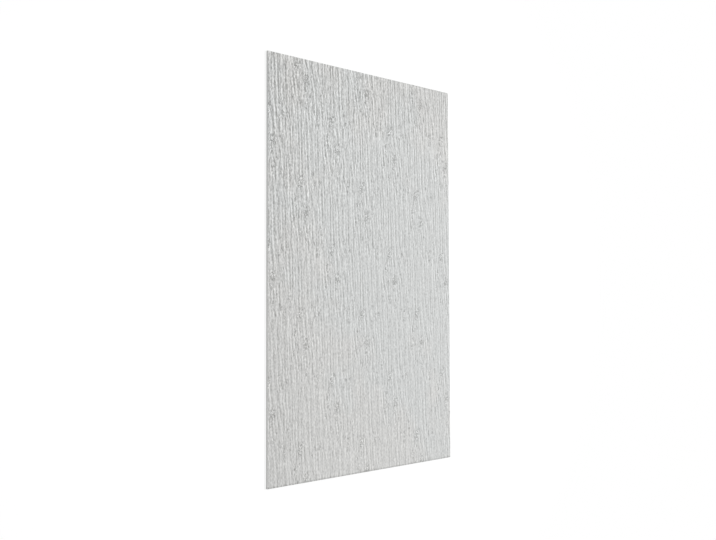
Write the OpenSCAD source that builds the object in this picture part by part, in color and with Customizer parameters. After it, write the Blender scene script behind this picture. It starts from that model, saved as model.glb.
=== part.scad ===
// Twin-wall polycarbonate sheet with a wood-grained face.
// One extrusion: two skins joined by webs that run the full length, closed along both long
// edges and open at both cut ends. It lies on its plain back skin, with the grained face up.
// X runs across the flutes, Y along them and Z through the thickness.
// The origin is the middle of the back skin's underside.

/* [Sheet] */
// Width, across the flutes
sheet_width = 1250; // [600:10:2100]
// Length, along the flutes
sheet_length = 2000; // [500:10:6000]
// Thickness over both skins, to the highest points of the grain
sheet_thickness = 10; // [6:0.5:16]

/* [Skins] */
// Thickness of the grained face skin, at the highest points of the grain
face_skin = 1.2; // [0.8:0.05:1.6]
// Thickness of the plain back skin
back_skin = 0.5; // [0.4:0.05:1]
// Radius of the long edges' outer corners
edge_radius = 0.6; // [0.2:0.1:1.2]

/* [Flutes] */
// Spacing of the webs aimed at: the sheet takes the nearest that divides its width evenly
web_spacing = 10.5; // [8:0.5:20]
// Thickness of each web between two flutes
web_thickness = 0.45; // [0.3:0.05:0.9]
// Thickness of the wall that closes each long edge
edge_wall = 0.8; // [0.5:0.1:1.5]
// Radius of the fillets where the webs meet the skins
web_fillet = 0.7; // [0.3:0.1:1.4]

/* [Hidden] */
$fn = 32;

// The room inside the edge walls is shared by whole flutes of one width.
inner_width = sheet_width - 2 * edge_wall;
flute_count = round((inner_width + web_thickness) / web_spacing);
flute_width = (inner_width - (flute_count - 1) * web_thickness) / flute_count;
flute_height = sheet_thickness - back_skin - face_skin;
flute_step = flute_width + web_thickness;

// A rectangle from the origin with round corners of true arcs.
module round_cornered(size, radius) {
    translate([radius, 0])
        square([size.x - 2 * radius, size.y]);
    translate([0, radius])
        square([size.x, size.y - 2 * radius]);
    for (x = [radius, size.x - radius], y = [radius, size.y - radius])
        translate([x, y])
            circle(r = radius);
}

// The outline of the whole sheet's section, resting on the X axis.
module sheet_outline() {
    translate([-sheet_width / 2, 0])
        round_cornered([sheet_width, sheet_thickness], edge_radius);
}

// The section's row of flutes, from one edge wall to the other.
module flute_row() {
    for (i = [0 : flute_count - 1])
        translate([edge_wall - sheet_width / 2 + i * flute_step, back_skin])
            round_cornered([flute_width, flute_height], web_fillet);
}

// The section, extruded along Y and centred on the origin.
module twin_wall_sheet() {
    color("gainsboro")
        translate([0, sheet_length / 2, 0])
            rotate([90, 0, 0])
                linear_extrude(height = sheet_length)
                    difference() {
                        sheet_outline();
                        flute_row();
                    }
}

twin_wall_sheet();
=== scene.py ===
"""Twin-wall polycarbonate sheet with a wood-grained face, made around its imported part.

The part lies on its plain back skin: X runs across the flutes, Y along them, Z out of the grain.
Its lengths here are metres. Those of the grain's motif are millimetres, across and down the sheet.
"""

import math

import bmesh
import bpy
import numpy as np
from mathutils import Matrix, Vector


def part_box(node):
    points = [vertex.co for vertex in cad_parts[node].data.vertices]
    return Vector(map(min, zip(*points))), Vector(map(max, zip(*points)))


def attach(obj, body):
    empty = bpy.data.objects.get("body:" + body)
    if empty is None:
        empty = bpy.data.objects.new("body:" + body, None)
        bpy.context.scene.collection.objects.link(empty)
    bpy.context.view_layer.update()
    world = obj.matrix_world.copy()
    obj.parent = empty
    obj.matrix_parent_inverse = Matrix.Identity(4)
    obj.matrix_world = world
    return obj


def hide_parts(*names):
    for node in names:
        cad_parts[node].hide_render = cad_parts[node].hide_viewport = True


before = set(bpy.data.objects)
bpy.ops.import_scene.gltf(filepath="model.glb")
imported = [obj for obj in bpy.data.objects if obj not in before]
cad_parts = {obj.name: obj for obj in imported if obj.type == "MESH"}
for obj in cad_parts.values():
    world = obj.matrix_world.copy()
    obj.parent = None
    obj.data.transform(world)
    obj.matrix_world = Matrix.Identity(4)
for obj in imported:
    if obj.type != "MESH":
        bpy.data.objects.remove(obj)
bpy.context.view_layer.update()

MM = 0.001
NODE = "twin_wall_sheet"
LOW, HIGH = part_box(NODE)
WIDTH = HIGH.x - LOW.x
LENGTH = HIGH.y - LOW.y
THICKNESS = HIGH.z - LOW.z
# Two places nearer than this count as one, and a face whose normal has more than FACING along an
# axis faces that way.
TOUCH = 0.01 * MM
FACING = 0.9

# The extruded section, as in the part. The flutes' number is odd, so X = 0 is the middle of one.
FACE_SKIN = 1.2 * MM
BACK_SKIN = 0.5 * MM
EDGE_RADIUS = 0.6 * MM
WEB_SPACING = 10.5 * MM
WEB = 0.45 * MM
EDGE_WALL = 0.8 * MM
WEB_FILLET = 0.7 * MM
FLUTES = round((WIDTH - 2 * EDGE_WALL + WEB) / WEB_SPACING)
FLUTE_PITCH = (WIDTH - 2 * EDGE_WALL + WEB) / FLUTES
FLUTE_WIDTH = FLUTE_PITCH - WEB
FLUTE_HEIGHT = THICKNESS - FACE_SKIN - BACK_SKIN
FIRST_FLUTE = LOW.x + EDGE_WALL + FLUTE_WIDTH / 2

# The mesh: the face's columns and rows, and the steps of each rounded edge. The rods that hollow
# the sheet out stick out of both its ends.
COLUMNS = 500
ROWS = 150
ARC_STEPS = 3
CORE_OVERHANG = 5 * MM
SMOOTH_BELOW = math.radians(40)

# The grain, which an embossing roller presses into the hot face: how deep it is, and how steeply
# the pressed face rises and falls with a line and with a pit.
GRAIN_DEPTH = 0.8 * MM
LINE_PRESS = 1.5
PIT_PRESS = 1.6
# A full pit is 1 deep. A pit ends PIT_REACH half widths from its centre, and the faces of the mesh
# are cut finer where it is deeper than FINER_FROM.
PIT_REACH = 3
FINER_FROM = 0.25

# The roller's grain comes round again at each SIDE_STEP, and its next row lies a DOWN_STEP on.
# The first motif starts START from the sheet's top left corner, and a motif's lines stick out of
# it by no more than STICK_OUT.
SIDE_STEP = (397.3, 2.2)
DOWN_STEP = (198.0, 315.7)
START = (-8.0, 2.0)
STICK_OUT = (30, 60)

# A line fades out from this far before each of its ends to this far past it. On a short line it is
# half the line's length and SHORT_FADE more.
LONGEST_FADE = 14
SHORT_FADE = 4

# Each line of one motif: its points from the top down (mm from the motif's top left corner),
# its half width (mm) and its strength.
RIDGES = [
    ([(52, -7), (56, 63), (60, 113), (59, 163), (64, 213), (67, 265)], 3.0, 1.0),
    ([(90, 3), (89, 41)], 3.3, 0.5),
    ([(98, 98), (101, 135)], 2.7, 0.6),
    ([(86, 143), (88, 173), (91, 208)], 3.3, 0.7),
    ([(129, -17), (131, 98), (132, 175)], 4.0, 0.5),
    ([(132, 218), (133, 240)], 4.0, 0.4),
    ([(142, 38), (148, 98), (154, 138), (161, 172), (167, 195)], 3.3, 1.2),
    ([(160, 22), (162, 50), (166, 80), (169, 100)], 3.0, 0.9),
    ([(167, 95), (173, 123), (181, 163), (188, 213), (194, 275)], 2.7, 1.0),
    ([(190, 5), (194, 27), (198, 45)], 2.9, 0.9),
    ([(177, 35), (181, 60), (187, 82)], 3.0, 0.9),
    ([(201, 83), (204, 135)], 2.7, 0.5),
    ([(221, -7), (225, 15), (227, 38), (224, 62)], 3.6, 1.0),
    ([(252, 3), (255, 41), (259, 67)], 3.0, 0.8),
    ([(275, 79), (279, 103), (284, 129), (289, 163), (292, 198), (294, 253)], 3.0, 1.0),
    ([(299, 28), (303, 45), (308, 62), (313, 80), (317, 98)], 3.0, 1.1),
    ([(284, -12), (285, 20), (288, 45), (292, 70)], 3.3, 0.9),
    ([(322, -7), (325, 48), (329, 95), (330, 125), (336, 155)], 3.0, 0.7),
    ([(336, 153), (342, 188), (348, 212), (350, 232)], 3.0, 0.9),
    ([(346, 3), (347, 108)], 2.7, 0.55),
    ([(380, -5), (380, 58), (382, 95)], 3.0, 0.5),
    ([(364, 80), (367, 125)], 3.3, 0.5),
    ([(378, 130), (379, 175), (380, 240)], 3.3, 0.6),
    ([(400, -27), (400, 63), (400, 140), (402, 265)], 3.0, 0.6),
    ([(213, 121), (217, 165), (214, 185)], 3.3, 0.6),
    ([(228, 150), (231, 165), (234, 185), (238, 205)], 3.0, 1.1),
    ([(238, 115), (244, 135), (249, 158), (254, 185)], 3.0, 0.9),
    ([(259, 88), (264, 125), (268, 158)], 3.3, 0.6),
    ([(268, 180), (269, 222)], 3.0, 0.6),
    ([(239, 198), (242, 225)], 3.0, 0.6),
    ([(222, 222), (225, 253), (229, 277)], 3.0, 0.8),
    ([(260, 213), (262, 240), (265, 275)], 3.6, 1.1),
    ([(238, 245), (242, 265), (246, 288), (250, 310)], 2.9, 0.9),
    ([(279, 243), (281, 255), (285, 268)], 3.3, 0.8),
    ([(310, 172), (311, 212)], 3.3, 0.5),
    ([(313, 112), (315, 155)], 3.3, 0.5),
    ([(98, 222), (102, 240), (104, 262), (108, 283)], 3.3, 0.9),
    ([(22, -10), (22, 35)], 3.3, 0.6),
    ([(34, 45), (35, 90), (37, 135), (37, 200)], 3.3, 0.6),
    ([(38, 200), (42, 240), (44, 258), (46, 288), (51, 333)], 3.3, 1.0),
    ([(17, 257), (20, 293), (26, 328)], 3.3, 0.9),
    ([(73, 268), (77, 290), (84, 305), (90, 325)], 3.0, 0.7),
    ([(85, 88), (88, 112), (95, 140)], 3.3, 0.5),
    ([(108, -10), (109, 30)], 2.7, 0.5),
    ([(122, 5), (123, 58)], 2.7, 0.4),
    ([(143, 5), (143, 26)], 3.3, 0.9),
    ([(160, 212), (161, 250), (163, 290)], 3.6, 0.6),
    ([(144, 285), (148, 310)], 3.0, 0.7),
    ([(172, 248), (175, 298)], 2.7, 0.5),
    ([(213, 271), (217, 305)], 2.7, 0.7),
    ([(260, 295), (261, 322)], 2.7, 0.6),
    ([(289, 270), (288, 325)], 3.3, 0.8),
    ([(327, 215), (328, 253), (329, 288), (331, 328)], 3.0, 0.9),
    ([(349, 235), (353, 271)], 3.0, 0.6),
    ([(360, 150), (357, 205), (355, 238)], 2.7, 0.6),
    ([(369, 275), (372, 315)], 2.7, 0.6),
]
GROOVES = [
    ([(6, -10), (8, 45), (7, 85), (11, 118), (12, 150), (14, 213), (15, 230)], 3.0, 0.9),
    ([(39, -7), (45, 63), (48, 123), (47, 170), (51, 232)], 2.4, 1.0),
    ([(32, -10), (32, 15)], 3.0, 0.5),
    ([(25, 25), (27, 45), (26, 80)], 2.7, 0.5),
    ([(54, 145), (55, 180)], 2.7, 0.6),
    ([(52, 188), (55, 215)], 2.7, 0.7),
    ([(52, 228), (57, 281)], 2.4, 0.8),
    ([(66, -2), (67, 23), (71, 68), (69, 100), (71, 148), (74, 221)], 2.9, 0.9),
    ([(73, 50), (77, 62), (77, 75)], 2.7, 0.4),
    ([(107, 20), (112, 73), (113, 125), (112, 173), (113, 215)], 4.0, 0.7),
    ([(108, 190), (113, 218), (114, 243)], 2.4, 0.9),
    ([(89, 115), (97, 150), (100, 185)], 2.7, 0.5),
    ([(98, 201), (97, 238)], 2.7, 0.6),
    ([(89, 250), (92, 272)], 3.0, 0.6),
    ([(117, 138), (118, 156)], 2.7, 0.5),
    ([(136, 62), (137, 84)], 2.9, 0.6),
    ([(142, 101), (142, 131), (146, 156)], 2.7, 0.7),
    ([(154, 31), (155, 73), (156, 98), (160, 121), (165, 141)], 2.7, 1.1),
    ([(168, 148), (176, 191)], 2.4, 0.6),
    ([(149, 143), (148, 190), (146, 215), (146, 255), (147, 280), (150, 300)], 2.9, 0.8),
    ([(177, 80), (173, 112), (168, 136)], 2.4, 0.5),
    ([(187, 26), (188, 44)], 2.7, 0.6),
    ([(189, 140), (191, 180)], 2.9, 0.7),
    ([(207, 115), (212, 142)], 2.9, 0.7),
    ([(208, 165), (209, 203)], 2.4, 0.7),
    ([(181, 215), (185, 240), (185, 265), (183, 288)], 3.6, 1.2),
    ([(199, 282), (203, 312)], 3.0, 0.9),
    ([(233, -9), (237, 15), (242, 37)], 3.0, 1.1),
    ([(242, 155), (240, 180)], 3.0, 0.8),
    ([(253, 118), (254, 140)], 2.4, 0.5),
    ([(265, 90), (270, 116)], 3.0, 0.7),
    ([(259, -8), (266, 32)], 3.0, 0.6),
    ([(272, -8), (273, 30), (278, 52), (281, 75)], 2.9, 0.8),
    ([(277, 135), (278, 165), (277, 215), (275, 260), (275, 292)], 2.9, 1.0),
    ([(285, 75), (288, 95), (294, 125)], 2.9, 0.9),
    ([(299, 73), (303, 113), (304, 173), (303, 235)], 2.7, 0.8),
    ([(297, 258), (301, 288)], 3.0, 0.8),
    ([(310, -5), (311, 30), (318, 70)], 2.7, 0.75),
    ([(335, -2), (336, 35), (341, 75), (340, 105), (342, 148)], 2.9, 0.9),
    ([(354, -10), (354, 28), (354, 100), (358, 138)], 2.4, 0.75),
    ([(352, 140), (352, 180), (353, 225)], 3.0, 0.6),
    ([(389, 0), (391, 45), (392, 80), (392, 110)], 3.3, 1.1),
    ([(391, 110), (391, 158), (391, 198)], 2.9, 0.8),
    ([(391, 195), (391, 225), (393, 266)], 3.0, 1.0),
    ([(371, 101), (372, 137)], 2.4, 0.5),
    ([(365, 181), (368, 208), (368, 230)], 2.4, 0.7),
    ([(371, 225), (373, 258)], 2.7, 0.8),
    ([(323, 160), (329, 182)], 3.0, 0.8),
    ([(320, 168), (316, 190), (316, 225)], 2.4, 0.6),
    ([(222, 160), (225, 185)], 2.7, 0.7),
    ([(227, 200), (232, 222), (237, 245)], 2.7, 0.8),
    ([(210, 240), (212, 275)], 3.0, 0.5),
    ([(249, 230), (253, 255), (256, 287)], 3.0, 1.1),
    ([(237, 281), (240, 311)], 2.7, 0.7),
    ([(265, 301), (265, 325)], 2.7, 0.7),
    ([(209, 285), (209, 321)], 2.7, 0.5),
    ([(381, 295), (382, 325)], 2.7, 0.7),
    ([(342, 285), (343, 311)], 2.7, 0.6),
    ([(359, 262), (361, 285)], 2.7, 0.5),
    ([(28, 255), (30, 278), (32, 303), (36, 325)], 2.9, 1.0),
    ([(9, 280), (11, 300), (14, 322)], 3.0, 0.8),
    ([(111, 292), (118, 316)], 2.7, 0.7),
    ([(93, 270), (97, 285), (103, 300)], 3.0, 0.9),
    ([(134, 285), (137, 325)], 2.7, 0.9),
    ([(74, 292), (80, 304), (87, 322)], 2.9, 0.9),
]
# Pits in and round the knots: centre, half width, half height (mm) and depth. A depth under 0 is a
# lip, which stands up.
PITS = [
    (229, 98, 4.5, 6, 1.0), (237, 108, 5, 4.5, 1.0), (228, 113, 3.5, 8, 0.9), (252, 107, 4, 6, 1.1),
    (243, 92, 6, 3.5, 0.8), (236, 73, 5, 4, 0.8), (246, 73, 4, 4, 0.8), (230, 147, 5, 6, 0.9),
    (172, 38, 4, 8, 1.1), (175, 83, 4, 6, 0.8), (190, 98, 5, 5, 0.8),
    (193, 114, 4, 6, 1.0), (187, 131, 5, 4.5, 0.6), (179, 115, 4, 4, 0.4), (162, 128, 3.5, 9, 0.8),
    (181, 4, 3.5, 5, 0.7), (198, 19, 5, 5, 0.6), (212, 27, 5, 7, 0.6), (216, 63, 6, 5, 0.5),
    (274, 137, 4, 6, 0.9), (193, 190, 4, 8, 0.9), (208, 208, 4.5, 6, 0.9), (153, 193, 6, 7, 0.3),
    (17, 244, 8, 4.5, 0.9), (78, 228, 8, 4.5, 0.8), (95, 233, 5, 4, 0.4), (93, 276, 4.5, 7, 0.9),
    (121, 265, 6, 5, 0.7), (128, 272, 5, 5, 0.3), (57, 293, 8, 4, 0.5), (243, 192, 5, 6, 0.8),
    (261, 175, 4.5, 7, 0.9), (255, 208, 4, 8, 0.7), (277, 225, 4.5, 6, 0.9), (284, 244, 4.5, 6, 0.9),
    (305, 248, 5, 5, 0.8), (317, 244, 4, 6, 0.7), (334, 199, 4, 6, 0.8),
    (338, 235, 5.5, 6, 0.8), (339, 262, 4.5, 7, 0.8), (254, 270, 3.5, 8, 0.5), (303, 300, 5.5, 7, 1.0),
    (316, 306, 9, 6, 0.3), (391, 263, 4, 5, 0.5), (391, 290, 6, 4.5, 0.9), (378, 283, 6, 5, 0.4),
    (378, 307, 5, 5, 0.5), (398, 272, 9, 5, -0.5), (236, 82, 13, 4, -0.5), (353, 137, 6, 6, 0.3),
]
# Where the grain breaks up into short strokes: centre, half width, half height (mm) and strength.
BROKEN = [
    (236, 92, 19, 30, 1.0), (229, 145, 9, 20, 0.6), (173, 42, 9, 24, 0.9), (175, 78, 8, 16, 0.7),
    (161, 130, 8, 20, 0.9), (156, 180, 7, 18, 0.4), (191, 105, 8, 20, 0.4), (197, 25, 11, 18, 0.5),
    (241, 222, 9, 38, 0.6), (262, 173, 6, 14, 0.6), (197, 200, 11, 20, 0.5), (18, 250, 11, 18, 0.8),
    (0, 275, 12, 22, 1.0), (80, 230, 9, 12, 0.5), (96, 272, 9, 14, 0.6), (120, 265, 9, 17, 0.6),
    (75, 300, 8, 12, 0.6), (288, 245, 7, 17, 0.6), (308, 270, 8, 36, 0.7), (332, 170, 8, 26, 0.4),
    (340, 232, 8, 50, 0.5), (45, 145, 9, 28, 0.3), (118, 150, 7, 14, 0.3), (277, 75, 7, 22, 0.4),
    (299, 50, 6, 18, 0.3), (400, 275, 12, 22, 1.0),
]

# The flat map that the sheet is unrolled on when its finish is turned into images: the share of the
# map's width that each kind of surface fills. The grained face takes nearly all of it.
FLAT_MAP = "OFBake"
FACE_STRIP = (0.001, 0.915)
BACK_STRIP = (0.920, 0.960)
FLUTE_STRIP = (0.965, 0.975)
LEFT_EDGE_STRIP = (0.977, 0.982)
RIGHT_EDGE_STRIP = (0.984, 0.989)
LOWER_END_STRIP = (0.991, 0.995)
TOP_END_STRIP = (0.9955, 0.9995)
MAP_MARGIN = 0.002

# The finish's colours, from dust and painted shade down in the grain to its worn crests with painted
# light, and the soil and painted shade in its pits.
GRIME_AND_GROOVE_SHADE = "#8D8D8C"
BODY = "#C9C9C9"
CREST_WEAR_AND_LIGHT = "#F2F2F2"
SOIL_AND_PIT_SHADE = "#3A3A39"
# The body's faint tint, in an oval near the middle of the sheet and round it: where the oval's
# middle is, how far it reaches to each side and how it leans.
COOL = "#FDFFFE"
WARM = "#FFFFFD"
COOL_MIDDLE = (0.25, 0.1, 0)
COOL_SIZE = (1.3, 0.75, 1)
COOL_LEAN = math.radians(-53)

# The finish's patterns: how wide and how long their features are. They follow the lean of the grain.
GRAIN_LEAN = math.radians(2.5)
LINES = (4.3 * MM, 60 * MM)
BEADS = (9 * MM, 30 * MM)
CRACKLE = (4.3 * MM, 12 * MM)
SPECKS = (5 * MM, 6 * MM)
CLOUDS = (260 * MM, 340 * MM)
# The finest lines of such a grain are some 0.3 mm wide. These are as coarse as they need to be to show.
FIBRES = (1.1 * MM, 22 * MM)
# The even lines of the grain: their pitch, and the length over which they waver. The Wave texture
# itself comes round again each WAVE_PERIOD.
COMB_PITCH = 16.5 * MM
COMB_LENGTH = 85 * MM
WAVE_PERIOD = math.pi / 10
# The matt of the whole sheet, drawn several times as coarse as the real one, which would not show.
MATT = 0.4 * MM

# What Map Range nodes are set to: From is the range that they read, and To what they make of it.
# Nearly all of a noise's values lie in NOISE.
NOISE = {"From Min": 0.3, "From Max": 0.7}
UP_THE_SHEET = {"From Min": LOW.y, "From Max": HIGH.y}
# How much each pattern darkens and lightens the face. The colours' whole range is 1.
# The grain's span is partly dust and wear and partly painted shade and light on its relief.
GRAIN_SHADE = {"To Min": -0.28, "To Max": 0.28}
LINE_SHADE = {"To Min": -0.08, "To Max": 0.08}
COMB_SHADE = {"To Min": -0.1, "To Max": 0.1}
CRACKLE_SHADE = {"To Min": -0.2, "To Max": 0.2}
FIBRE_SHADE = {"To Min": -0.26, "To Max": 0.26}
SPECK_SHADE = {"To Min": -0.5, "To Max": 0.25}
# How strong a pattern is from place to place: the grain along its lines, the crackle from whole
# grain to broken grain and up the sheet, the fibres up the sheet, and all of it with the strength of
# the painted light and shade, which is greatest at the sheet's top left corner.
BEADING = {"To Min": 0.6, "To Max": 1.4}
BREAKING = {"To Min": 0.8, "To Max": 2.0}
CRACKLE_FALL = {"To Min": 1.1, "To Max": 0.8}
FIBRE_RISE = {"To Min": 0.7, "To Max": 1.2}
PAINTED_LIGHT_STRENGTH = {"To Min": 0.67, "To Max": 1.75}
# The grain's painted light and shade grow stronger along the direction below, from one corner of
# the sheet to the other, and the reach below is how far along it those corners are.
PAINTED_LIGHT_DIRECTION = (-0.45, 0.55, 0)
PAINTED_LIGHT_REACH = {"From Min": -0.83, "From Max": 0.83}
# Where painted shade darkens the face towards its left edge and its top, where a dark line runs along
# the lower end, and by how much. The plain sides are made paler by the last, which is painted light.
PAINTED_SHADE_LEFT = {"From Min": LOW.x, "From Max": LOW.x + 0.3, "To Min": -0.06, "To Max": 0.0}
PAINTED_SHADE_TOP = {"From Min": HIGH.y - 0.3, "From Max": HIGH.y, "To Min": 0.0, "To Max": -0.05}
LOWER_END_DARK_LINE = {"From Min": LOW.y, "From Max": LOW.y + 10 * MM, "To Min": -0.3, "To Max": 0.0}
PLAIN_SIDE_PAINTED_LIGHT = 0.11
# The shades that the colours span, and how deep in a pit the soil and painted shade begin and cover all.
SHADES = {"From Min": -0.5, "From Max": 0.5}
SOIL_AND_SHADE_DEPTHS = {"From Min": 0.75, "From Max": 1.7}
# How far clouds break up the edge of the cool oval, and where that edge lies.
CLOUDING = {"To Min": -0.4, "To Max": 0.4}
COOL_EDGE = {"From Min": 0.6, "From Max": 1.0}

# How far each pattern is raised.
LINE_RELIEF = 0.15 * MM
CRACKLE_RELIEF = 0.12 * MM
FIBRE_RELIEF = 0.12 * MM
MATT_RELIEF = 0.015 * MM
SINK_RELIEF = 0.03 * MM

# What Math nodes are set to.
TIMES = {"operation": "MULTIPLY"}
PLUS = {"operation": "ADD"}
LARGER = {"operation": "MAXIMUM"}
WHITE = (1, 1, 1, 1)


def over_the_sheet(x, y, shape):
    """The sum, at points in metres, of one motif's shape(u, v) over all the motifs near them."""
    across = (x - LOW.x) / MM - START[0]
    down = (HIGH.y - y) / MM - START[1]
    row = np.floor(down / DOWN_STEP[1])
    across = across - row * DOWN_STEP[0]
    down = down - row * DOWN_STEP[1]
    column = np.floor(across / SIDE_STEP[0])
    across = across - column * SIDE_STEP[0]
    down = down - column * SIDE_STEP[1]
    total = np.zeros_like(across)
    for j in (-1, 0, 1):
        for i in (-2, -1, 0, 1, 2):
            u = across - i * SIDE_STEP[0] - j * DOWN_STEP[0]
            v = down - i * SIDE_STEP[1] - j * DOWN_STEP[1]
            beside = (u > -STICK_OUT[0]) & (u < SIDE_STEP[0] + STICK_OUT[0])
            near = beside & (v > -STICK_OUT[1]) & (v < DOWN_STEP[1] + STICK_OUT[1])
            if near.any():
                total[near] += shape(u[near], v[near])
    return total


def grain_level(x, y):
    """How high the face stands at points in metres: 0 at the bottom of the grain, 1 at its top."""
    rise = LINE_PRESS * over_the_sheet(x, y, motif) - PIT_PRESS * over_the_sheet(x, y, pits)
    return 0.5 + 0.5 * np.tanh(rise)


def motif(u, v):
    """The rise of one motif at points in its own millimetres: more than 0 on ridges, less in grooves."""
    rise = np.zeros_like(u)
    for lines, sign in ((RIDGES, 1), (GROOVES, -1)):
        for points, half_width, strength in lines:
            top = points[0][1]
            bottom = points[-1][1]
            fade = min(LONGEST_FADE, (bottom - top) / 2 + SHORT_FADE)
            here = (v > top - fade) & (v < bottom + fade)
            line_x = np.interp(v[here], [p[1] for p in points], [p[0] for p in points])
            ends = np.clip(np.minimum(v[here] - top + fade, bottom + fade - v[here]) / (2 * fade), 0, 1)
            ends = ends * ends * (3 - 2 * ends)
            spread = ((u[here] - line_x) / half_width) ** 2
            # Across, a line is a round crest with a faint dip on either side.
            rise[here] += sign * strength * ends * (1 - 0.5 * spread) * np.exp(-spread)
    return rise


def pits(u, v):
    """How deep in a pit points are, in one motif's own millimetres: 0 outside, 1 down in a full pit."""
    depth = np.zeros_like(u)
    for x, y, half_width, half_height, strength in PITS:
        here = (abs(u - x) < PIT_REACH * half_width) & (abs(v - y) < PIT_REACH * half_height)
        spread = ((u[here] - x) / half_width) ** 2 + ((v[here] - y) / half_height) ** 2
        depth[here] += strength * np.exp(-spread)
    return depth


def broken_grain(u, v):
    """How much the grain is broken up at points in one motif's own millimetres."""
    amount = np.zeros_like(u)
    for x, y, half_width, half_height, strength in BROKEN:
        amount += strength * np.exp(-((u - x) / half_width) ** 2 - ((v - y) / half_height) ** 2)
    return amount


def deselect_all():
    bpy.ops.object.select_all(action="DESELECT")


def only(piece):
    """Selects one piece and makes it active."""
    deselect_all()
    piece.select_set(True)
    bpy.context.view_layer.objects.active = piece


def pick_edges(piece, wanted):
    """In edit mode, selects just the edges that wanted(edge) is true for."""
    bpy.ops.mesh.select_mode(type="EDGE")
    bpy.ops.mesh.select_all(action="DESELECT")
    mesh = bmesh.from_edit_mesh(piece.data)
    for edge in mesh.edges:
        if wanted(edge):
            edge.select_set(True)
    bmesh.update_edit_mesh(piece.data)


def lies_at(edge, x=None, y=None, z=None):
    """Whether both ends of an edge have the given coordinates."""
    for point in (edge.verts[0].co, edge.verts[1].co):
        for value, wanted in ((point.x, x), (point.y, y), (point.z, z)):
            if wanted is not None and abs(value - wanted) > TOUCH:
                return False
    return True


def on_long_edge(edge):
    return lies_at(edge, x=LOW.x) or lies_at(edge, x=HIGH.x)


def lengthwise(edge):
    return abs(edge.verts[0].co.y - edge.verts[1].co.y) > TOUCH


def on_long_corner(edge):
    on_skin = lies_at(edge, z=LOW.z) or lies_at(edge, z=HIGH.z)
    return on_skin and on_long_edge(edge) and lengthwise(edge)


def outer_shell():
    """The whole outside of the sheet: its face, back, long edges and cut ends."""
    deselect_all()
    bpy.ops.mesh.primitive_grid_add(x_subdivisions=COLUMNS, y_subdivisions=ROWS, size=1)
    shell = bpy.context.active_object
    shell.scale = (WIDTH, LENGTH, 1)
    shell.location = (0, 0, HIGH.z)
    bpy.ops.object.transform_apply(location=True, rotation=True, scale=True)
    bpy.ops.object.mode_set(mode="EDIT")
    pick_edges(shell, on_long_edge)
    bpy.ops.mesh.extrude_region_move(TRANSFORM_OT_translate={"value": (0, 0, -THICKNESS)})
    pick_edges(shell, lambda e: e.is_boundary and lies_at(e, z=LOW.z) and lengthwise(e))
    bpy.ops.mesh.bridge_edge_loops()
    pick_edges(shell, on_long_corner)
    bpy.ops.mesh.bevel(offset=EDGE_RADIUS, offset_type="OFFSET", segments=ARC_STEPS, affect="EDGES")
    for y in (LOW.y, HIGH.y):
        pick_edges(shell, lambda e: e.is_boundary and lies_at(e, y=y))
        bpy.ops.mesh.edge_face_add()
    bpy.ops.mesh.select_all(action="SELECT")
    bpy.ops.mesh.normals_make_consistent(inside=False)
    bpy.ops.object.mode_set(mode="OBJECT")
    return shell


def flute_cores():
    """What fills the flutes: rods with rounded edges, a little longer than the sheet."""
    deselect_all()
    bpy.ops.mesh.primitive_cube_add(size=1)
    core = bpy.context.active_object
    core.scale = (FLUTE_WIDTH, LENGTH + 2 * CORE_OVERHANG, FLUTE_HEIGHT)
    core.location = (FIRST_FLUTE, 0, LOW.z + BACK_SKIN + FLUTE_HEIGHT / 2)
    bpy.ops.object.transform_apply(location=True, rotation=True, scale=True)
    bpy.ops.object.mode_set(mode="EDIT")
    pick_edges(core, lengthwise)
    bpy.ops.mesh.bevel(offset=WEB_FILLET, offset_type="OFFSET", segments=ARC_STEPS, affect="EDGES")
    bpy.ops.object.mode_set(mode="OBJECT")
    row = core.modifiers.new("row", "ARRAY")
    row.count = FLUTES
    row.use_relative_offset = False
    row.use_constant_offset = True
    row.constant_offset_displace = (FLUTE_PITCH, 0, 0)
    only(core)
    bpy.ops.object.modifier_apply(modifier=row.name)
    return core


def cut_pits_finer(shell):
    """Halves the faces round each pit, so that a pit's wall is more than one face."""
    bpy.ops.object.mode_set(mode="EDIT")
    bpy.ops.mesh.select_mode(type="FACE")
    bpy.ops.mesh.select_all(action="DESELECT")
    mesh = bmesh.from_edit_mesh(shell.data)
    faces = [f for f in mesh.faces if f.normal.z > FACING]
    centres = np.array([f.calc_center_median() for f in faces])
    depths = over_the_sheet(centres[:, 0], centres[:, 1], pits)
    for face, depth in zip(faces, depths):
        if depth > FINER_FROM:
            face.select_set(True)
    bmesh.update_edit_mesh(shell.data)
    bpy.ops.mesh.subdivide(number_cuts=1)
    bpy.ops.object.mode_set(mode="OBJECT")


def within_rims(points):
    """Which points lie on the embossed face, inside the plain rims along its long edges."""
    rim = EDGE_RADIUS + TOUCH
    high = points[:, 2] > HIGH.z - GRAIN_DEPTH - TOUCH
    return high & (points[:, 0] > LOW.x + rim) & (points[:, 0] < HIGH.x - rim)


def emboss(shell):
    """Presses the grain into the face."""
    points = all_points(shell)
    on_face = within_rims(points)
    level = grain_level(points[on_face, 0], points[on_face, 1])
    grain = shell.vertex_groups.new(name="grain")
    for index, height in zip(np.flatnonzero(on_face), level):
        grain.add([int(index)], 1 - float(height), "REPLACE")
    press = shell.modifiers.new("press", "DISPLACE")
    press.vertex_group = "grain"
    press.direction = "Z"
    press.mid_level = 0
    press.strength = -GRAIN_DEPTH
    only(shell)
    bpy.ops.object.modifier_apply(modifier=press.name)


def hollow(shell):
    """Takes the flutes out of the sheet, from end to end."""
    cores = flute_cores()
    cut = shell.modifiers.new("flutes", "BOOLEAN")
    cut.operation = "DIFFERENCE"
    cut.solver = "MANIFOLD"
    cut.object = cores
    only(shell)
    bpy.ops.object.modifier_apply(modifier=cut.name)
    only(cores)
    bpy.ops.object.delete()


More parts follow.
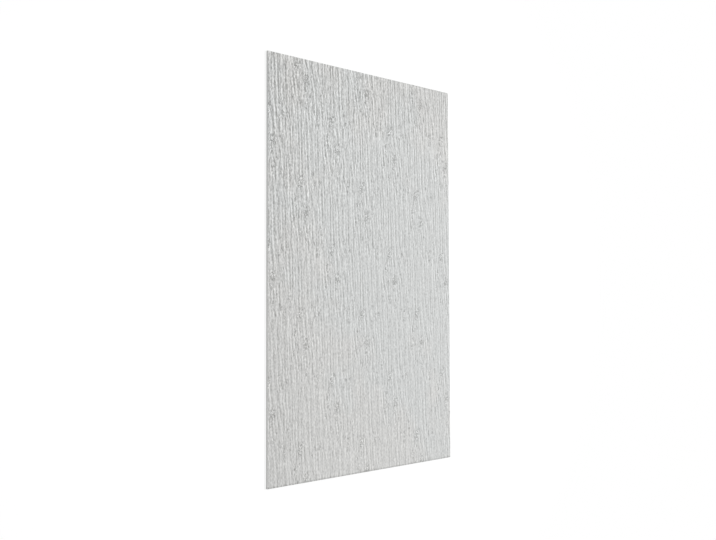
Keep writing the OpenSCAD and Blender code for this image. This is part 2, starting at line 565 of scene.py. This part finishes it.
def keep_grain(sheet):
    """Keeps what the finish follows on the mesh: where it is embossed, how high, pitted and broken up."""
    points = all_points(sheet)
    on_face = within_rims(points)
    level = np.ones(len(points))
    level[on_face] = 1 - (HIGH.z - points[on_face, 2]) / GRAIN_DEPTH
    x = points[on_face, 0]
    y = points[on_face, 1]
    pitted = np.zeros(len(points))
    pitted[on_face] = over_the_sheet(x, y, pits)
    broken = np.zeros(len(points))
    broken[on_face] = over_the_sheet(x, y, broken_grain)
    kinds = (("embossed", on_face), ("grain_level", level), ("pitted", pitted), ("broken", broken))
    for name, values in kinds:
        kept = sheet.data.attributes.new(name, "FLOAT", "POINT")
        kept.data.foreach_set("value", values.astype(np.float32))


def read_all(items, name, kind, width):
    """One value of many mesh elements as an array, a row for each element."""
    values = np.empty(len(items) * width, kind)
    items.foreach_get(name, values)
    return values.reshape(-1, width) if width > 1 else values


def all_points(piece):
    return read_all(piece.data.vertices, "co", np.float64, 3)


def kinds_of_surface(mesh):
    """Which of the corners of faces are on the grain, the back, a flute, a cut end and the left half."""
    owner = np.repeat(np.arange(len(mesh.polygons)), read_all(mesh.polygons, "loop_total", np.int32, 1))
    centre = read_all(mesh.polygons, "center", np.float64, 3)[owner]
    normal = read_all(mesh.polygons, "normal", np.float64, 3)[owner]
    from_side = WIDTH / 2 - abs(centre[:, 0])
    below_grain = HIGH.z - (FACE_SKIN + GRAIN_DEPTH) / 2
    above_back = LOW.z + BACK_SKIN / 2
    face = (from_side > EDGE_RADIUS) & (centre[:, 2] > below_grain)
    back = (from_side > EDGE_RADIUS) & (centre[:, 2] < above_back)
    flute = (from_side > EDGE_WALL / 2) & (centre[:, 2] > above_back) & (centre[:, 2] < below_grain)
    return face, back, flute, abs(normal[:, 1]) > FACING, centre[:, 0] < 0


def lay_flat(sheet):
    """Gives the sheet its flat map, with a strip for each kind of surface. Later strips take over."""
    mesh = sheet.data
    face, back, flute, cut_end, left = kinds_of_surface(mesh)
    x, y, z = all_points(sheet)[read_all(mesh.loops, "vertex_index", np.int32, 1)].T
    over_width = (x - LOW.x) / WIDTH
    over_length = (y - LOW.y) / LENGTH
    over_thickness = (z - LOW.z) / THICKNESS
    from_middle = z - (LOW.z + HIGH.z) / 2
    off_axis = x - FIRST_FLUTE - np.round((x - FIRST_FLUTE) / FLUTE_PITCH) * FLUTE_PITCH
    round_flute = np.arctan2(from_middle, off_axis) / (2 * np.pi) + 0.5
    round_edge = np.arctan2(from_middle, abs(x) - WIDTH / 2 + THICKNESS / 2) / np.pi + 0.5
    strips = (
        (~left, round_edge, RIGHT_EDGE_STRIP),
        (left, round_edge, LEFT_EDGE_STRIP),
        (back, over_width, BACK_STRIP),
        (face, over_width, FACE_STRIP),
        (flute, round_flute, FLUTE_STRIP),
        (cut_end, over_thickness, LOWER_END_STRIP),
        (cut_end & (y > 0), over_thickness, TOP_END_STRIP),
    )
    across = np.empty(len(x))
    for chosen, share, (low, high) in strips:
        across[chosen] = low + (high - low) * share[chosen]
    up = MAP_MARGIN + (1 - 2 * MAP_MARGIN) * np.where(cut_end, over_width, over_length)
    flat = mesh.uv_layers.new(name=FLAT_MAP)
    flat.uv.foreach_set("vector", np.stack([across, up], 1).astype(np.float32).ravel())


def twin_wall_sheet():
    sheet = outer_shell()
    cut_pits_finer(sheet)
    emboss(sheet)
    hollow(sheet)
    keep_grain(sheet)
    lay_flat(sheet)
    only(sheet)
    bpy.ops.object.shade_smooth_by_angle(angle=SMOOTH_BELOW)
    sheet.name = "grained_sheet"
    return sheet


def linear(code):
    """An sRGB hex colour as linear red, green, blue and alpha."""
    channels = [int(code[i:i + 2], 16) / 255 for i in (1, 3, 5)]
    return [c / 12.92 if c <= 0.04045 else ((c + 0.055) / 1.055) ** 2.4 for c in channels] + [1]


def add(tree, kind, settings=None, links=None):
    """Adds a node. Settings are its own values and its sockets', by name or number, and links are what
    its sockets read: another node's socket, or a node, which stands for its first output."""
    node = tree.nodes.new("ShaderNode" + kind)
    for name, value in (settings or {}).items():
        if isinstance(name, int) or name in node.inputs:
            node.inputs[name].default_value = value
        else:
            setattr(node, name, value)
    for name, source in (links or {}).items():
        if isinstance(source, bpy.types.Node):
            source = source.outputs[0]
        tree.links.new(source, node.inputs[name])
    return node


def fresh_material(name):
    material = bpy.data.materials.new(name)
    material.use_nodes = True
    material.node_tree.nodes.clear()
    return material, material.node_tree


def streaks(tree, place, size, start, detail=0.0, distortion=0.0):
    """Noise drawn out along the grain, with features as wide and long as size, from its own start."""
    stretched = add(
        tree, "Mapping",
        {
            "vector_type": "TEXTURE",
            "Location": (start, start, 0),
            "Rotation": (0, 0, GRAIN_LEAN),
            "Scale": (*size, 1),
        },
        {"Vector": place},
    )
    return add(
        tree, "TexNoise",
        {"Scale": 1.0, "Detail": detail, "Roughness": 0.55, "Distortion": distortion},
        {"Vector": stretched},
    )


def combed(tree, place):
    """Even lines along the grain that waver and fork, from 0 to 1."""
    stretched = add(
        tree, "Mapping",
        {
            "vector_type": "TEXTURE",
            "Rotation": (0, 0, GRAIN_LEAN),
            "Scale": (COMB_PITCH / WAVE_PERIOD, COMB_LENGTH, 1),
        },
        {"Vector": place},
    )
    lines = add(
        tree, "TexWave",
        {"Scale": 1.0, "Distortion": 5.0, "Detail": 1.0, "Detail Scale": 1.5},
        {"Vector": stretched},
    )
    return lines.outputs["Fac"]


def embossed_polycarbonate():
    """Polycarbonate, coloured through to an opaque pale grey, extruded, and embossed hot on its face.

    The roller leaves it matt all over, with no gloss and nothing showing through. Its grain is darker
    in the grooves, with dust and painted shade, and paler on the crests, with wear and painted light,
    and its plain sides are painted paler, which is painted light.
    """
    material, tree = fresh_material("embossed_polycarbonate")
    place = add(tree, "TexCoord").outputs["Object"]
    axes = add(tree, "SeparateXYZ", links={"Vector": place})
    embossed = add(tree, "Attribute", {"attribute_name": "embossed"}).outputs["Fac"]
    plain = add(tree, "Math", {"operation": "SUBTRACT", 0: 1.0}, {1: embossed})
    lines = streaks(tree, place, LINES, 0)
    crackle = streaks(tree, place, CRACKLE, 9, distortion=0.5)
    fibres = streaks(tree, place, FIBRES, 3, detail=4.0)

    shade = grain_shade(tree, place, axes, lines, crackle, fibres)
    # Painted shade towards the left edge and the top of the face.
    shade = add(tree, "Math", PLUS, {0: shade, 1: painted_edge_shade(tree, axes)})
    shade = add(tree, "Math", TIMES, {0: shade, 1: embossed})
    # Painted light makes the plain sides paler.
    shade = add(tree, "Math", {"operation": "MULTIPLY_ADD", 1: PLAIN_SIDE_PAINTED_LIGHT}, {0: plain, 2: shade})
    # A dark line along the lower end.
    lower_end_line = add(tree, "MapRange", LOWER_END_DARK_LINE, {"Value": axes.outputs["Y"]})
    shade = add(tree, "Math", PLUS, {0: shade, 1: lower_end_line})

    height = add(tree, "Math", {"operation": "MULTIPLY", 1: LINE_RELIEF}, {0: lines})
    for pattern, rise in ((fibres, FIBRE_RELIEF), (crackle, CRACKLE_RELIEF)):
        height = add(tree, "Math", {"operation": "MULTIPLY_ADD", 1: rise}, {0: pattern, 2: height})
    height = add(tree, "Math", TIMES, {0: height, 1: embossed})
    height = add(tree, "Math", PLUS, {0: height, 1: extruded_relief(tree, place, axes, plain)})
    bump = add(tree, "Bump", {"Strength": 1.0, "Distance": 1.0}, {"Height": height})

    colour = tinted(tree, place, soiled_and_shaded(tree, shade))
    shader = add(
        tree, "BsdfPrincipled",
        {"Roughness": 0.7, "IOR": 1.585},
        {"Base Color": colour, "Normal": bump},
    )
    add(tree, "OutputMaterial", links={"Surface": shader})
    return material


def grain_shade(tree, place, axes, lines, crackle, fibres):
    """How much the grain lightens or darkens each place: dust, wear, and painted light and shade."""
    level = add(tree, "Attribute", {"attribute_name": "grain_level"}).outputs["Fac"]
    broken = add(tree, "Attribute", {"attribute_name": "broken"}).outputs["Fac"]

    # Darker in the grooves and paler on the crests: dust and wear, with painted shade and light.
    level = add(tree, "MapRange", GRAIN_SHADE, {"Value": level})
    beads = add(tree, "MapRange", NOISE | BEADING, {"Value": streaks(tree, place, BEADS, 5)})
    level = add(tree, "Math", TIMES, {0: level, 1: beads})

    strokes = add(tree, "MapRange", NOISE | CRACKLE_SHADE, {"Value": crackle})
    breaking = add(tree, "MapRange", BREAKING, {"Value": broken})
    strokes = add(tree, "Math", TIMES, {0: strokes, 1: breaking})
    falling = add(tree, "MapRange", UP_THE_SHEET | CRACKLE_FALL, {"Value": axes.outputs["Y"]})
    strokes = add(tree, "Math", TIMES, {0: strokes, 1: falling})

    specks = add(tree, "MapRange", NOISE | SPECK_SHADE, {"Value": streaks(tree, place, SPECKS, 11)})
    specks = add(tree, "Math", TIMES, {0: specks, 1: broken})

    fine = add(tree, "MapRange", NOISE | FIBRE_SHADE, {"Value": fibres})
    rising = add(tree, "MapRange", UP_THE_SHEET | FIBRE_RISE, {"Value": axes.outputs["Y"]})
    fine = add(tree, "Math", TIMES, {0: fine, 1: rising})

    long_lines = add(tree, "MapRange", NOISE | LINE_SHADE, {"Value": lines})
    even_lines = add(tree, "MapRange", COMB_SHADE, {"Value": combed(tree, place)})

    shade = level
    for pattern in (strokes, specks, long_lines, even_lines, fine):
        shade = add(tree, "Math", PLUS, {0: shade, 1: pattern})
    # Scaled by the painted light and shade's strength, greatest at the top left corner.
    return add(tree, "Math", TIMES, {0: shade, 1: painted_light_gradient(tree, place)})


def painted_light_gradient(tree, place):
    """The grain's painted light and shade: strongest at the top left corner, weakest at the far one."""
    along = add(tree, "VectorMath", {"operation": "DOT_PRODUCT", 1: PAINTED_LIGHT_DIRECTION}, {0: place})
    share = add(tree, "MapRange", PAINTED_LIGHT_REACH, {"Value": along.outputs["Value"]})
    cubed = add(tree, "Math", {"operation": "POWER", 1: 3.0}, {0: share})
    return add(tree, "MapRange", PAINTED_LIGHT_STRENGTH, {"Value": cubed})


def painted_edge_shade(tree, axes):
    """How much painted shade darkens the face towards its left edge and its top."""
    left = add(tree, "MapRange", PAINTED_SHADE_LEFT, {"Value": axes.outputs["X"]})
    top = add(tree, "MapRange", PAINTED_SHADE_TOP, {"Value": axes.outputs["Y"]})
    return add(tree, "Math", PLUS, {0: left, 1: top})


def soiled_and_shaded(tree, shade):
    """The colour of each shade, and the soil and painted shade at the bottom of the pits."""
    ramp = add(tree, "ValToRGB", links={"Fac": add(tree, "MapRange", SHADES, {"Value": shade})})
    stops = ramp.color_ramp.elements
    stops[0].color = linear(GRIME_AND_GROOVE_SHADE)
    stops[1].color = linear(CREST_WEAR_AND_LIGHT)
    stops.new(0.5).color = linear(BODY)
    pitted = add(tree, "Attribute", {"attribute_name": "pitted"}).outputs["Fac"]
    # Soil and painted shade darken the deepest pits.
    pit_soil_and_shade = add(tree, "MapRange", SOIL_AND_SHADE_DEPTHS, {"Value": pitted})
    return add(tree, "Mix", {"data_type": "RGBA", 7: linear(SOIL_AND_PIT_SHADE)}, {0: pit_soil_and_shade, 6: ramp}).outputs[2]


def tinted(tree, place, colour):
    """The colour with the sheet's faint drift, from a cool grey in the oval to a warm one round it."""
    centred = add(
        tree, "Mapping",
        {
            "vector_type": "TEXTURE",
            "Location": COOL_MIDDLE,
            "Rotation": (0, 0, COOL_LEAN),
            "Scale": COOL_SIZE,
        },
        {"Vector": place},
    )
    distance = add(tree, "VectorMath", {"operation": "LENGTH"}, {0: centred}).outputs["Value"]
    clouds = streaks(tree, place, CLOUDS, 7, detail=2.0)
    clouds = add(tree, "MapRange", NOISE | CLOUDING, {"Value": clouds})
    drift = add(tree, "Math", PLUS, {0: distance, 1: clouds})
    drift = add(tree, "MapRange", COOL_EDGE, {"Value": drift})
    tint = add(tree, "Mix", {"data_type": "RGBA", 6: linear(COOL), 7: linear(WARM)}, {0: drift}).outputs[2]
    mixed = {"data_type": "RGBA", "blend_type": "MULTIPLY", 0: 1.0}
    return add(tree, "Mix", mixed, {6: colour, 7: tint}).outputs[2]


def extruded_relief(tree, place, axes, plain):
    """The fine matt all over, and on the plain back the lines where the webs have drawn it in."""
    matt = add(tree, "TexNoise", {"Scale": 1 / MATT, "Detail": 2.0}, {"Vector": place})
    # The distance from the middle of the nearest flute.
    off_middle = add(tree, "Math", {"operation": "PINGPONG", 1: FLUTE_PITCH / 2}, {0: axes.outputs["X"]})
    at_web = add(
        tree, "MapRange",
        {"From Min": FLUTE_PITCH / 2 - 2 * WEB, "From Max": FLUTE_PITCH / 2, "To Max": -SINK_RELIEF},
        {"Value": off_middle},
    )
    at_web = add(tree, "Math", TIMES, {0: at_web, 1: plain})
    return add(tree, "Math", {"operation": "MULTIPLY_ADD", 1: MATT_RELIEF}, {0: matt, 2: at_web})


def seen_directly(tree):
    """1 for what the camera sees, straight or in a reflection or through glass, and 0 for soft light."""
    path = add(tree, "LightPath").outputs
    mirrored = add(tree, "Math", LARGER, {0: path["Is Glossy Ray"], 1: path["Is Transmission Ray"]})
    return add(tree, "Math", LARGER, {0: path["Is Camera Ray"], 1: mirrored})


def studio_floor():
    """A white floor that keeps the sheet's shadow and runs out into a white backdrop."""
    material, tree = fresh_material("white_floor")
    matt = add(tree, "BsdfDiffuse", {"Color": linear("#E6E6E6")})
    # Where it is fully lit, what the seen floor reflects and its own glow add up to white.
    shaded = add(tree, "BsdfDiffuse", {"Color": linear("#A4A4A4")})
    glow = add(tree, "Emission", {"Color": WHITE, "Strength": 0.68})
    lit = add(tree, "AddShader", links={0: shaded, 1: glow})
    backdrop = add(tree, "Emission", {"Color": WHITE, "Strength": 1.0})
    place = add(tree, "TexCoord").outputs["Object"]
    distance = add(tree, "VectorMath", {"operation": "LENGTH"}, {0: place}).outputs["Value"]
    far = add(
        tree, "MapRange",
        {"From Min": 1.3, "From Max": 2.2, "interpolation_type": "SMOOTHSTEP"},
        {"Value": distance},
    )
    seen = add(tree, "MixShader", links={0: far, 1: lit, 2: backdrop})
    surface = add(tree, "MixShader", links={0: seen_directly(tree), 1: matt, 2: seen})
    add(tree, "OutputMaterial", links={"Surface": surface})
    deselect_all()
    bpy.ops.mesh.primitive_plane_add(size=60, location=(0, 0, LOW.z - 0.1 * MM))
    floor = bpy.context.active_object
    floor.name = "floor"
    floor.data.materials.append(material)


def studio_dome(strength):
    """Soft light from all round, in front of a white background."""
    world = bpy.data.worlds.new("studio")
    bpy.context.scene.world = world
    world.use_nodes = True
    tree = world.node_tree
    tree.nodes.clear()
    soft = add(tree, "Background", {"Color": WHITE, "Strength": strength})
    white = add(tree, "Background", {"Color": WHITE, "Strength": 1.0})
    surface = add(tree, "MixShader", links={0: seen_directly(tree), 1: soft, 2: white})
    add(tree, "OutputWorld", links={"Surface": surface})


def lamp(name, place, aim, size, watts):
    light = bpy.data.lights.new(name, "AREA")
    light.shape = "SQUARE"
    light.size = size
    light.energy = watts
    holder = bpy.data.objects.new(name, light)
    bpy.context.scene.collection.objects.link(holder)
    holder.location = place
    holder.rotation_mode = "QUATERNION"
    holder.rotation_quaternion = (Vector(aim) - Vector(place)).to_track_quat("-Z", "Y")
    holder.visible_camera = False


def camera():
    """Looks down at the sheet from beyond its left edge, with its top end up in the frame."""
    lens = bpy.data.cameras.new("camera")
    lens.lens = 45.56
    lens.sensor_width = 36
    lens.clip_end = 200
    holder = bpy.data.objects.new("camera", lens)
    bpy.context.scene.collection.objects.link(holder)
    holder.location = (-3.142, -0.171, 3.300)
    holder.rotation_euler = [math.radians(a) for a in (2.375, -43.11, -0.222)]
    bpy.context.scene.camera = holder


sheet = twin_wall_sheet()
sheet.data.materials.clear()
sheet.data.materials.append(embossed_polycarbonate())
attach(sheet, "root")
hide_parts(NODE)

studio_floor()
# The dome lights a level face to 0.66 and the key lamp adds 0.34: a colour renders about as written.
studio_dome(strength=0.66)
lamp("key", place=(13, 1.2, 10.8), aim=(0, 0, 0), size=5, watts=1510)
camera()

bpy.context.scene.view_settings.view_transform = "Standard"
